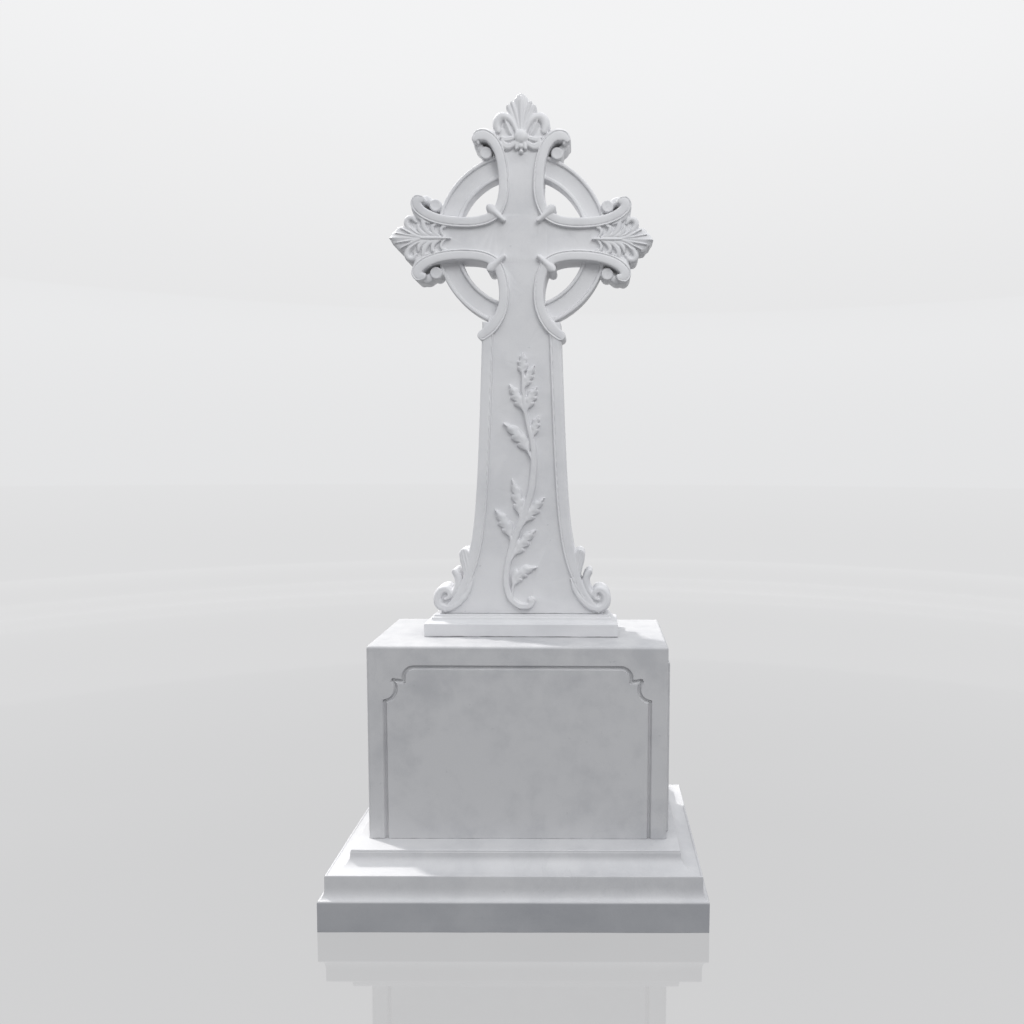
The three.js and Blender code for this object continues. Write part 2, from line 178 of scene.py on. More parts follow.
def smoothstep(value, low, high):
    t = min(max((value - low) / (high - low), 0), 1)
    return t * t * (3 - 2 * t)


# Sections across a carved strip, as (out, front) pairs for its front half


def both_faces(half):
    """Closes the front half of a section with its mirror image on the back"""
    return [(out, -front) for out, front in half] + [(out, front) for out, front in reversed(half)]


def front_only(half, buried=36):
    """Closes the front half of a section inside the stone"""
    low, high = half[0][0], half[-1][0]
    return [(low, -buried)] + [(out, -front) for out, front in half] + [(high, -buried)]


def band_half(w, front):
    """Moulded band: a flat face, eased towards the opening (-), with a fine bead by the field (+)"""
    k = min(w / 12, 1)
    return [
        (-w, front - 10), (-w + 0.4 * k, front - 3.4), (-w + 1.5 * k, front - 1.5),
        (-w + 3.2 * k, front - 0.5), (-w * 0.45, front - 0.1), (w - 7.2 * k, front),
        (w - 6.2 * k, front - 0.2), (w - 5.4 * k, front - 2.6), (w - 3.8 * k, front - 2.6),
        (w - 3.0 * k, front - 0.1), (w - 1.8 * k, front + 0.5), (w - 0.6 * k, front - 0.3),
        (w, front - 2.4), (w, front - 12),
    ]


def dome_half(w, front, edge, points=9):
    """Rounded strip"""
    half = []
    for i in range(points):
        angle = math.pi * i / (points - 1)
        half.append((-w * math.cos(angle), edge + (front - edge) * math.sin(angle) ** 0.8))
    return half


def crest_half(w, front, edge):
    """Leaf face that rises in a hollow curve to a sharp middle crest"""
    return [(k * w, edge + (front - edge) * (1 - abs(k)) ** 1.25)
            for k in (-1, -0.85, -0.6, -0.35, -0.15, 0, 0.15, 0.35, 0.6, 0.85, 1)]


def veined_half(w, front, edge, vein=1.6):
    """Rounded leaf with a cut vein down the middle"""
    half = []
    for i in range(13):
        k = -1 + i / 6
        height = edge + (front - edge) * max(1 - k * k, 0) ** 0.5
        half.append((k * w, height - vein * math.exp(-(k * w / 1.6) ** 2)))
    return half


def fluted_half(w, front, edge, flutes, depth=2.4):
    """Rounded strip with flutes cut along it"""
    half = []
    count = 8 * flutes + 5
    for i in range(count):
        k = -1 + 2 * i / (count - 1)
        height = edge + (front - edge) * max(1 - k ** 4, 0) ** 0.5
        cut = depth * (0.5 + 0.5 * math.cos(math.pi * k * (flutes + 1))) * (1 - k ** 8)
        half.append((k * w, height - cut))
    return half


class Carving:
    """Gathers closed skins, drawn in millimetres about a level of the stone's middle line"""

    def __init__(self, level):
        self.level = level
        self.points = []
        self.faces = []

    def skin(self, rings, closed=False):
        """A skin over a row of rings with equal numbers of points"""
        start = len(self.points)
        count = len(rings[0])
        for ring in rings:
            self.points.extend(ring)
        last = len(rings) if closed else len(rings) - 1
        for i in range(last):
            for j in range(count):
                k = (j + 1) % count
                here = start + i * count
                there = start + ((i + 1) % len(rings)) * count
                self.faces.append((here + j, here + k, there + k, there + j))
        if not closed:
            self.faces.append(tuple(range(start + count - 1, start - 1, -1)))
            end = start + (len(rings) - 1) * count
            self.faces.append(tuple(range(end, end + count)))

    def sweep(self, path, width, section, round_start=False, round_end=False, side=1):
        """Sweeps a section along a path drawn in the front view"""
        stations = []
        for i, point in enumerate(path):
            way = (path[min(i + 1, len(path) - 1)] - path[max(i - 1, 0)]).normalized()
            stations.append((point, way, width(i / (len(path) - 1))))
        turns = [math.radians(angle) for angle in (22, 44, 62, 77)]
        if round_start:
            point, way, w = stations[0]
            cap = [(point - way * w * math.sin(turn), way, w * math.cos(turn)) for turn in turns]
            stations = cap[::-1] + stations
        if round_end:
            point, way, w = stations[-1]
            stations += [(point + way * w * math.sin(turn), way, w * math.cos(turn)) for turn in turns]
        rings = []
        for point, way, w in stations:
            across = Vector((-way.y, way.x)) * side
            rings.append([(point.x + across.x * out, y, point.y + across.y * out) for out, y in section(w)])
        self.skin(rings)

    def turned(self, x, z, profile, steps=32):
        """Turns (radius, y) pairs about an axis that runs from front to back"""
        rings = []
        for radius, y in profile:
            rings.append([(x + max(radius, 0.05) * math.cos(math.tau * i / steps), y,
                           z + max(radius, 0.05) * math.sin(math.tau * i / steps)) for i in range(steps)])
        self.skin(rings)

    def knob(self, x, z, y, radius, squash=1.0, steps=16):
        """Ball, flattened from front to back by squash"""
        profile = []
        for i in range(9):
            angle = math.pi * i / 8
            profile.append((radius * math.sin(angle), y - radius * squash * math.cos(angle)))
        self.turned(x, z, profile, steps)

    def bar(self, low, high, width, front, across=False, steps=2):
        """Field of the stone between two levels, flat on both faces"""
        rings = []
        for i in range(steps + 1):
            level = low + (high - low) * i / steps
            w = width(level)
            ring = [(-w, -front), (w, -front), (w, front), (-w, front)]
            rings.append([(level, y, out) if across else (out, y, level) for out, y in ring])
        self.skin(rings)

    def mesh(self, name):
        points = [(x * MM, y * MM, self.level + z * MM) for x, y, z in self.points]
        mesh = bpy.data.meshes.new(name)
        mesh.from_pydata(points, [], self.faces)
        return mesh


# Marble, mixed with shader nodes


class Value:
    """Wraps a socket, so that sums on it add Math nodes"""

    def __init__(self, graph, socket):
        self.graph = graph
        self.socket = socket

    def sum(self, operation, *others):
        return self.graph.node("ShaderNodeMath", {"operation": operation}, dict(enumerate(others)))

    def __add__(self, other):
        return self.sum("ADD", self, other)

    def __radd__(self, other):
        return self.sum("ADD", other, self)

    def __sub__(self, other):
        return self.sum("SUBTRACT", self, other)

    def __rsub__(self, other):
        return self.sum("SUBTRACT", other, self)

    def __mul__(self, other):
        return self.sum("MULTIPLY", self, other)

    def __rmul__(self, other):
        return self.sum("MULTIPLY", other, self)

    def __abs__(self):
        return self.sum("ABSOLUTE", self)

    def between(self, low, high):
        """0 below low, 1 above high, smooth between; the other way round if low is above high"""
        flip = low > high
        settings = {"interpolation_type": "SMOOTHSTEP"}
        sockets = {0: self, 1: min(low, high), 2: max(low, high), 3: 1 if flip else 0, 4: 0 if flip else 1}
        return self.graph.node("ShaderNodeMapRange", settings, sockets)


class Graph:
    """A material's nodes"""

    def __init__(self, name):
        self.material = bpy.data.materials.new(name)
        self.material.use_nodes = True
        self.tree = self.material.node_tree
        self.shader = self.tree.nodes["Principled BSDF"]
        self.place = self.node("ShaderNodeTexCoord", {}, {}, "Object")
        split = self.tree.nodes.new("ShaderNodeSeparateXYZ")
        self.tree.links.new(self.place.socket, split.inputs[0])
        self.x, self.y, self.z = (Value(self, split.outputs[i]) for i in range(3))

    def node(self, kind, settings, sockets, output=0):
        node = self.tree.nodes.new(kind)
        for key, value in settings.items():
            setattr(node, key, value)
        for key, value in sockets.items():
            if isinstance(value, Value):
                self.tree.links.new(value.socket, node.inputs[key])
            else:
                node.inputs[key].default_value = value
        return Value(self, node.outputs[output])

    def noise(self, scale, detail=3, roughness=0.5, distortion=0.0):
        return self.node("ShaderNodeTexNoise", {}, {
            "Vector": self.place, "Scale": scale, "Detail": detail, "Roughness": roughness,
            "Distortion": distortion})

    def mix(self, factor, a, b):
        return self.node("ShaderNodeMix", {"data_type": "RGBA"}, {0: factor, 6: a, 7: b}, 2)

    def set(self, name, value):
        socket = self.shader.inputs[name]
        if isinstance(value, Value):
            self.tree.links.new(value.socket, socket)
        else:
            socket.default_value = value


def opaque(color):
    return (*color, 1)


def marble(name, finish, tone=1.0, cloud_amount=1.0, painted_shade_below=None, joints=()):
    """Honed pale marble with soft clouds, faint veins and a few specks"""
    graph = Graph(name)
    clean, cloud, vein = (opaque([channel * tone for channel in color])
                          for color in (finish.marble, finish.cloud, finish.vein))
    drift = graph.noise(3.2, detail=5, roughness=0.55, distortion=0.6)
    mottle = graph.noise(16, detail=6, roughness=0.62)
    clouds = (drift * 0.62 + mottle * 0.38).between(0.42, 0.66) * (0.62 * cloud_amount)
    color = graph.mix(clouds, clean, cloud)
    wander = graph.noise(5.5, detail=7, roughness=0.6, distortion=1.2)
    thin = abs(wander - 0.5).between(0.018, 0.0)
    where = graph.noise(2.1, detail=2).between(0.5, 0.68)
    color = graph.mix(thin * where * (0.15 * cloud_amount), color, vein)
    specks = graph.noise(62, detail=2, roughness=0.4).between(0.74, 0.80)
    color = graph.mix(specks * 0.35, color, vein)
    grain = graph.noise(420, detail=2)
    color = graph.mix((grain - 0.5).between(-0.12, 0.2) * 0.05, color, opaque((0.9, 0.9, 0.9)))
    # Painted shade: below this level the colour darkens unevenly, standing in for the shade on the lowest
    # band of the base
    if painted_shade_below is not None:
        painted_shade = graph.z.between(painted_shade_below + 0.002, painted_shade_below - 0.002)
        uneven_shade = graph.noise(7, detail=4).between(0.2, 0.8)
        color = graph.mix(painted_shade * (0.42 + 0.16 * uneven_shade), color, opaque((0.19, 0.2, 0.225)))
    # Dark lines at given levels: joints between stones, and on the cross a painted shadow line where it meets
    # the foot
    for level, half, depth in joints:
        wobble = (graph.noise(26, detail=4) - 0.5) * 0.004
        line = abs(graph.z + wobble - level).between(half, half * 0.25)
        breaks = graph.noise(11, detail=3).between(0.3, 0.52)
        color = graph.mix(line * breaks * depth, color, opaque((0.12, 0.12, 0.125)))
    graph.set("Base Color", color)
    graph.set("Roughness", mottle * 0.16 + (finish.roughness - 0.08))
    graph.set("Specular IOR Level", 0.4)
    height = grain * 0.3 + graph.noise(130, detail=4, roughness=0.65) * 0.7
    graph.set("Normal", graph.node("ShaderNodeBump", {}, {
        "Strength": 0.16, "Distance": 0.0012, "Height": height}))
    return graph.material


# Steps that every plain stone shares


def linked(name, data):
    """A new object, linked to the scene"""
    made = bpy.data.objects.new(name, data)
    bpy.context.collection.objects.link(made)
    return made


def deselect():
    bpy.ops.object.select_all(action="DESELECT")


def take(block):
    """Selects one object alone and makes it the active one"""
    deselect()
    block.select_set(True)
    bpy.context.view_layer.objects.active = block


def edit_all(block):
    """Opens a mesh in edit mode with all of it selected"""
    take(block)
    bpy.ops.object.mode_set(mode="EDIT")
    bpy.ops.mesh.select_all(action="SELECT")


def cube(name, low, high, cuts=0):
    """A block between two corners"""
    deselect()
    bpy.ops.mesh.primitive_cube_add(size=1, location=(low + high) / 2)
    block = bpy.context.object
    block.name = block.data.name = name
    block.scale = high - low
    bpy.ops.object.transform_apply(location=True, rotation=True, scale=True)
    if cuts:
        bpy.ops.object.mode_set(mode="EDIT")
        bpy.ops.mesh.subdivide(number_cuts=cuts)
        bpy.ops.object.mode_set(mode="OBJECT")
    return block


def pick_faces(block, wanted):
    """Selects only the faces that the test wants"""
    bpy.ops.object.mode_set(mode="EDIT")
    bpy.ops.mesh.select_mode(type="FACE")
    bpy.ops.mesh.select_all(action="DESELECT")
    bpy.ops.object.mode_set(mode="OBJECT")
    for polygon in block.data.polygons:
        polygon.select = wanted(polygon)
    bpy.ops.object.mode_set(mode="EDIT")


def raise_profile(block, half_x, half_y, profile):
    """Draws the top face up a moulding: the profile gives the stone's outstand at each level"""
    level = max(vertex.co.z for vertex in block.data.vertices)
    pick_faces(block, lambda face: face.normal.z > 0.9)
    out = profile[0][0]
    for new_out, new_level in profile[1:]:
        bpy.ops.mesh.extrude_region_move(TRANSFORM_OT_translate={"value": (0, 0, new_level - level)})
        bpy.ops.transform.resize(value=(
            (half_x + new_out) / (half_x + out), (half_y + new_out) / (half_y + out), 1),
            center_override=(0, 0, new_level))
        out, level = new_out, new_level
    bpy.ops.object.mode_set(mode="OBJECT")


def cavetto(out0, top, out1, bottom, steps):
    """Hollow quarter curve, from the lower edge up to the wall above it"""
    quarter = [math.pi / 2 * (1 - step / steps) for step in range(steps + 1)]
    return [(out1 - (out1 - out0) * math.cos(turn), bottom + (top - bottom) * (1 - math.sin(turn)))
            for turn in quarter]


def modify(block, kind, **settings):
    """Adds a modifier, sets it and applies it"""
    take(block)
    modifier = block.modifiers.new(kind.title(), kind)
    for key, value in settings.items():
        setattr(modifier, key, value)
    bpy.ops.object.modifier_apply(modifier=modifier.name)


def hand_worked(block, strength, size, key):
    """Lets the faces wander as hand-worked stone does"""
    texture = bpy.data.textures.new(key, "CLOUDS")
    texture.noise_scale = size
    texture.noise_depth = 2
    modify(block, "DISPLACE", texture=texture, strength=strength, mid_level=0.5, texture_coords="LOCAL")


def saw_flat(block, level):
    """Cuts off what lies below a level and closes the cut"""
    edit_all(block)
    bpy.ops.mesh.bisect(plane_co=(0, 0, level), plane_no=(0, 0, 1), use_fill=True, clear_inner=True)
    bpy.ops.object.mode_set(mode="OBJECT")


def finish_stone(block, node, material, angle=35):
    """Smooth faces between sharp arrises, the marble, and the node that the stone stands for"""
    take(block)
    bpy.ops.object.shade_smooth_by_angle(angle=math.radians(angle))
    if len(block.data.polygons) < PLAIN_FACES:
        modify(block, "WEIGHTED_NORMAL", keep_sharp=True, weight=50)
    block.data.materials.clear()
    block.data.materials.append(material)
    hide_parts(node)
    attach(block, "root")


# Base, die and foot


class GRAVESTONE_OT_base(bpy.types.Operator):
    """Cuts the stepped base stone, with its two hollow mouldings"""

    bl_idname = "gravestone.base"
    bl_label = "Base stone"

    def execute(self, context):
        sizes = context.scene.stone_sizes
        half = BASE_HIGH
        ledge_x, ledge_y = 0.420, 0.265
        band_out = half.x - ledge_x
        middle_out = 0.0525
        band_top, middle_top, fascia, top = 0.076, 0.138, 0.028, BASE_HIGH.z
        low = Vector((-half.x, -half.y, 0))
        block = cube("base_stone", low, Vector((half.x, half.y, band_top)), cuts=23)
        profile = [(band_out, band_top)]
        profile += cavetto(middle_out, middle_top - fascia - 0.004, band_out - 0.002, band_top + 0.003, 7)
        profile += [(middle_out, middle_top - fascia), (middle_out, middle_top - 0.003)]
        profile += [(middle_out - 0.0012, middle_top), (middle_out - 0.0045, middle_top + 0.0004)]
        profile += cavetto(0.001, top - 0.016, middle_out - 0.0065, middle_top - 0.0012, 8)
        profile += [(0.001, top - 0.0065), (0, top - 0.0055), (0, top - 0.0015), (-0.0015, top)]
        raise_profile(block, ledge_x, ledge_y, profile)
        modify(block, "BEVEL", width=sizes.edge_round * 0.45, segments=2, limit_method="ANGLE",
               angle_limit=math.radians(38))
        hand_worked(block, sizes.wave, 0.09, "base wave")
        self.sit_flat(block)
        finish = context.scene.stone_finish
        # The lowest band gets painted shade in its colour
        material = marble("marble of the base", finish, tone=0.87, cloud_amount=0.8, painted_shade_below=band_top)
        finish_stone(block, "base", material)
        return {"FINISHED"}

    def sit_flat(self, block):
        """Keeps the underside level and the stone inside its limits"""
        for vertex in block.data.vertices:
            if vertex.co.z < 0.003:
                vertex.co.z = max(vertex.co.z, 0)
                if vertex.normal.z < -0.9:
                    vertex.co.z = 0
            if vertex.co.z > BASE_HIGH.z - 0.004 and vertex.normal.z > 0.9:
                vertex.co.z = BASE_HIGH.z


def panel_runs():
    """Incised line on the die, in millimetres above its foot: its runs on the right side and the top"""
    line_x, line_top = 343, 455
    shoulder_x, shoulder_radius = 267, 27
    bite_x, bite_z, bite_radius = 346.5, 398, 32
    spike, step = Vector((320, 421.5)), Vector((shoulder_x + shoulder_radius, 418))

    def arc(x, z, radius, start, end):
        turns = [math.radians(start + (end - start) * i / 14) for i in range(15)]
        return [Vector((x + radius * math.cos(turn), z + radius * math.sin(turn))) for turn in turns]
    bite = arc(bite_x, bite_z, bite_radius, 264, 140)
    shoulder = arc(shoulder_x, line_top - shoulder_radius, shoulder_radius, 0, 90)
    top = [Vector((-shoulder_x, line_top)), Vector((shoulder_x, line_top))]
    return [[Vector((line_x, -12)), bite[0]], bite + [spike], [spike, step], [step] + shoulder], top


class GRAVESTONE_OT_die(bpy.types.Operator):
    """Squares the die, rounds its arrises, raises its side panels and incises the line on its front"""

    bl_idname = "gravestone.die"
    bl_label = "Die"

    def execute(self, context):
        sizes = context.scene.stone_sizes
        half_x = 0.390
        low = Vector((-half_x, DIE_LOW.y, DIE_LOW.z))
        high = Vector((half_x, DIE_HIGH.y, DIE_HIGH.z))
        spare = Vector((0, 0, 0.03))
        block = cube("die_block", low - spare, high)
        modify(block, "BEVEL", width=sizes.die_round, segments=5, limit_method="ANGLE")
        saw_flat(block, DIE_LOW.z)
        panel_half, panel_top, rooted = 0.152, 0.460, 0.030
        for side in (-1, 1):
            inner, outer = sorted((side * (half_x - rooted), side * DIE_HIGH.x))
            panel = cube("side_panel", Vector((inner, -panel_half, DIE_LOW.z + 0.0005)),
                         Vector((outer, panel_half, DIE_LOW.z + panel_top)))
            modify(panel, "BEVEL", width=0.004, segments=3, limit_method="ANGLE")
            modify(block, "BOOLEAN", operation="UNION", object=panel, solver="MANIFOLD")
            bpy.data.objects.remove(panel)
        runs, top = panel_runs()
        for i, run in enumerate(runs + [flip_x(run)[::-1] for run in runs] + [top]):
            cutter = self.groove(sizes, run, 0.04 * i)
            modify(block, "BOOLEAN", operation="DIFFERENCE", object=cutter, solver="MANIFOLD")
            bpy.data.objects.remove(cutter)
        material = marble("marble of the die", context.scene.stone_finish, tone=0.81, cloud_amount=1.2,
                          joints=((DIE_LOW.z, 0.0012, 0.6),))
        finish_stone(block, "die", material)
        return {"FINISHED"}

    def groove(self, sizes, run, deeper):
        """The space that one run of the incised line cuts out, widest at the face of the stone"""
        front, proud = DIE_LOW.y / MM, 3
        depth = sizes.groove_depth / MM + deeper

        def section(w):
            return [(-w * (1 + proud / depth), front - proud), (-w * 0.2, front + depth),
                    (w * 0.2, front + depth), (w * (1 + proud / depth), front - proud)]
        carving = Carving(DIE_LOW.z)
        carving.sweep(run, lambda t: sizes.groove_half / MM + deeper / 2, section, round_start=True,
                      round_end=True)
        cutter = linked("groove", carving.mesh("groove"))
        edit_all(cutter)
        bpy.ops.mesh.normals_make_consistent(inside=False)
        bpy.ops.object.mode_set(mode="OBJECT")
        return cutter


class GRAVESTONE_OT_foot(bpy.types.Operator):
    """Cuts the low moulded foot under the cross"""

    bl_idname = "gravestone.foot"
    bl_label = "Foot"

    def execute(self, context):
        sizes = context.scene.stone_sizes
        band_out = 0.024
        half_x, half_y = FOOT_HIGH.x - band_out, FOOT_HIGH.y - band_out
        bottom, top = FOOT_LOW.z, FOOT_HIGH.z
        band_top = bottom + 0.034
        block = cube("foot_stone", Vector((-FOOT_HIGH.x, -FOOT_HIGH.y, bottom)),
                     Vector((FOOT_HIGH.x, FOOT_HIGH.y, band_top)), cuts=15)
        profile = [(band_out, band_top), (band_out - 0.002, band_top + 0.002)]
        profile += cavetto(0.006, top - 0.009, band_out - 0.005, band_top + 0.003, 7)
        profile += [(0.005, top - 0.007), (0.001, top - 0.006), (0, top - 0.001), (-0.001, top)]
        raise_profile(block, half_x, half_y, profile)
        modify(block, "BEVEL", width=sizes.edge_round * 0.6, segments=3, limit_method="ANGLE",
               angle_limit=math.radians(38))
        hand_worked(block, sizes.wave * 0.7, 0.06, "foot wave")
        for vertex in block.data.vertices:
            if vertex.co.z < bottom + 0.004 and vertex.normal.z < -0.9:
                vertex.co.z = bottom
            vertex.co.z = min(max(vertex.co.z, bottom), top)
        material = marble("marble of the foot", context.scene.stone_finish, cloud_amount=0.6,
                          joints=((bottom, 0.0030, 0.85),))
        finish_stone(block, "foot", material)
        return {"FINISHED"}


# Cross: its lines, drawn for its right side

RING_INNER, RING_OUTER = 170, 230
FIELD = 39.5
BAND_FRONT = 49.5
BAND_HALF = 13.5
EYE_RADIUS = 16.5

ARM_LINE = [(64, 66), (88, 45), (122, 41), (160, 42), (205, 43), (256, 54), (275, 82),
            (279, 94), (273, 101), (263, 99)]
UPPER_LINE = [(64, 66), (49, 92), (43.5, 118), (45.5, 150), (47.5, 195), (56.5, 248), (90, 263),
              (103, 268), (114, 264), (120, 256)]
LOWER_LINE = [(64, -66), (49, -96), (42.5, -128), (47.5, -168), (53, -200), (72, -232), (104, -252)]

SHAFT_LEVEL, SHAFT_INNER, SHAFT_SLOPE = -262, 75, 0.036
FLARE, FLARE_LENGTH, FLARE_LIFT = 103, 91, 10
BORDER_TOP = -217


def shaft_inner(z):
    """Half width of the shaft inside its border, straight and then sweeping out to the foot"""
    from_foot = z - CROSS_BOTTOM - FLARE_LIFT
    return SHAFT_INNER + SHAFT_SLOPE * (SHAFT_LEVEL - z) + FLARE * math.exp(-from_foot / FLARE_LENGTH)


def border_half(z):
    return 15.5 - 8 * smoothstep(-z, 830, 985)


def four_ways(path):
    """The path in all four quarters, with the side that its field lies on"""
    return [(path, 1), (flip_x(path), -1), (flip_z(path), -1), (flip_x(flip_z(path)), 1)]


def two_ways(path):
    """The path on the right and on the left, with the side that its field lies on"""
    return [(path, 1), (flip_x(path), -1)]


def path_x(path, z):
    """How far out a path is at a level"""
    for a, b in zip(path, path[1:]):
        if min(a.y, b.y) <= z <= max(a.y, b.y) and a.y != b.y:
            return a.x + (b.x - a.x) * (z - a.y) / (b.y - a.y)
    return path[-1].x


def path_z(path, x):
    return path_x([Vector((z, x)) for x, z in path], x)


def carve_field(carving):
    """Flat stone behind the bands"""
    arm = bezier_chain(ARM_LINE, 10)[:24]
    upper = bezier_chain(UPPER_LINE, 10)[:18]
    lower = flip_z(bezier_chain(LOWER_LINE, 10))
    carving.bar(-66, 66, lambda z: 66, FIELD)
    carving.bar(60, 222, lambda z: path_x(upper, max(z, 66)), FIELD, steps=16)
    carving.bar(-205, -60, lambda z: path_x(lower, max(-z, 66)), FIELD, steps=16)
    for side in (-1, 1):
        carving.bar(side * 60, side * 285, lambda x: path_z(arm, min(max(abs(x), 64), 250)), FIELD,
                    across=True, steps=20)
    carving.bar(CROSS_BOTTOM, -200, lambda z: shaft_inner(z) + border_half(z), FIELD, steps=60)


def carve_ring(carving):
    """Ring with a raised rim along each edge, alike on both faces"""
    half = [(-30, 19), (-29, 24), (-27, 25), (-22.5, 25), (-20.5, 23.8), (-19.4, 18.8), (0, 18),
            (19.4, 18.8), (20.5, 23.8), (22.5, 25), (27, 25), (29, 24), (30, 19)]
    middle = (RING_INNER + RING_OUTER) / 2
    rings = []
    for i in range(160):
        turn = math.tau * i / 160
        rings.append([((middle + out) * math.cos(turn), y, (middle + out) * math.sin(turn))
                      for out, y in both_faces(half)])
    carving.skin(rings, closed=True)


def carve_bands(carving):
    """Moulded bands round the four openings, each curling over at its outer end"""
    def section(w):
        return both_faces(band_half(w, BAND_FRONT))
    arm = bezier_chain(ARM_LINE, 16)
    upper = bezier_chain(UPPER_LINE, 16)
    lower = bezier_chain(LOWER_LINE, 16)
    hook = widths([k * BAND_HALF for k in (0.95, 1, 1, 1, 1, 1.02, 1.1, 1.05, 0.7)])
    tail = widths([k * BAND_HALF for k in (0.95, 1, 1, 1, 1, 1.05, 1.1, 1.0)])
    for path, side in four_ways(arm):
        carving.sweep(path, hook, section, round_end=True, side=-side)
    for path, side in two_ways(upper):
        carving.sweep(path, hook, section, round_end=True, side=side)
    for path, side in two_ways(lower):
        carving.sweep(path, tail, section, round_end=True, side=-side)


def carve_brackets(carving):
    """Outer strand that wraps over the end of each band, and the web from its tip to the eye"""
    arm = smooth_path([(240, 38), (260, 46), (274, 60), (281, 80), (278, 95), (268, 101), (260, 97)], 8)
    top = smooth_path([(57, 228), (62, 250), (76, 266), (96, 274), (113, 270), (121, 258), (115, 248)], 8)

    def section(w):
        return both_faces(dome_half(w, 46.5, 34, 11))
    for path, _ in four_ways(arm):
        carving.sweep(path, widths([2, 6, 9, 10, 10, 10, 9]), section, round_end=True)
    for path, _ in two_ways(top):
        carving.sweep(path, widths([2, 6, 10, 11, 11, 9, 7]), section, round_end=True)
    arm_web = smooth_path([(268, 103), (254, 104), (243, 97), (232, 90)], 4)
    top_web = smooth_path([(117, 255), (114, 242), (104, 233), (94, 227)], 4)

    def web(w):
        return both_faces(dome_half(w, 32, 24, 7))
    for path, _ in four_ways(arm_web) + two_ways(top_web):
        carving.sweep(path, widths([9, 11, 11, 9]), web)


def carve_eyes(carving):
    """Turned eyes inside the hooks, with a fine groove"""
    r = EYE_RADIUS
    front = [(0, 33.5), (3, 34.8), (5.2, 33.8), (6.4, 34.2), (r - 3, 35.6), (r - 0.9, 34.4), (r, 31)]
    for x, z in ((94, 223), (228, 88), (228, -88)):
        for side in (-1, 1):
            carving.turned(side * x, z, both_faces(front))


def carve_collars(carving):
    """Tie across each corner where two bands meet: a bulb in the opening, a tapering bar on the field"""
    width = widths([6.5, 6.8, 7.2, 7.8, 9, 11.5, 12.5])

    def section(w):
        return both_faces(dome_half(w, 54.5, 44, 11))
    for sx in (-1, 1):
        for sz in (-1, 1):
            line = [Vector((sx * (47 + 33 * t), sz * (48 + 28.5 * t)))
                    for t in (0, 0.15, 0.3, 0.5, 0.7, 0.85, 1)]
            carving.sweep(line, width, section, round_start=True, round_end=True)


def carve_borders(carving):
    """Raised border down each side of the shaft"""
    path = []
    steps = 110
    for i in range(steps + 1):
        t = 1 - (1 - i / steps) ** 1.7
        z = BORDER_TOP + (CROSS_BOTTOM + 8 - BORDER_TOP) * t
        path.append(Vector((shaft_inner(z) + border_half(z), z)))

    def width(t):
        return border_half(path[min(int(t * steps + 0.5), steps)].y)

    def section(w):
        return both_faces(band_half(w, BAND_FRONT - 2.5))
    for line, side in two_ways(path):
        carving.sweep(line, width, section, side=-side)


def carve_scrolls(carving):
    """Acanthus scroll beside the foot: a volute, and two fluted leaves that curl outwards"""
    volute = smooth_path([(132, -905), (146, -940), (165, -966), (188, -984), (210, -988), (226, -979),
                          (231, -960), (223, -942), (209, -936), (199, -945), (201, -958), (209, -962)], 7)
    upper = smooth_path([(168, -965), (152, -935), (146, -903), (149, -877), (154, -855), (157, -839)], 8)
    middle = smooth_path([(201, -960), (182, -938), (175, -914), (178, -897), (183, -889)], 7)
    strips = (
        (volute, [1.5, 7, 9, 10, 11.5, 12.5, 12.5, 12, 10.5, 8, 6.5, 5], lambda w: veined_half(w, 49, 40)),
        (upper, [6, 11, 14, 15.5, 16, 15], lambda w: fluted_half(w, 47.5, 38, 3)),
        (middle, [7, 9, 10, 10, 9.5], lambda w: dome_half(w, 46.5, 36)),
    )
    for line, values, half in strips:
        for path, _ in two_ways(line):
            carving.sweep(path, widths(values), lambda w: both_faces(half(w)), round_end=True)
    fill = smooth_path([(140, -900), (152, -940), (175, -968), (205, -975)], 5)
    for path, _ in two_ways(fill):
        carving.sweep(path, widths([8, 16, 18, 14]), lambda w: both_faces(dome_half(w, 36, 33)))
    for side in (-1, 1):
        carving.turned(side * 208, -962, [(0, -40), (13, -39), (16, -36), (16, 36), (13, 39), (0, 40)])


def mirrored(points, flip):
    return [(flip[0] * x, flip[1] * z) for x, z in points]


def leaflet(carving, flip, points, values, front, edge, style=veined_half, through=False):
    """One tongue of a leaf, on the front only, or right through the stone with its own back"""
    path = smooth_path(mirrored(points, flip), 6)
    close = both_faces if through else front_only
    carving.sweep(path, widths(values), lambda w: close(style(w, front, edge)), round_end=True)


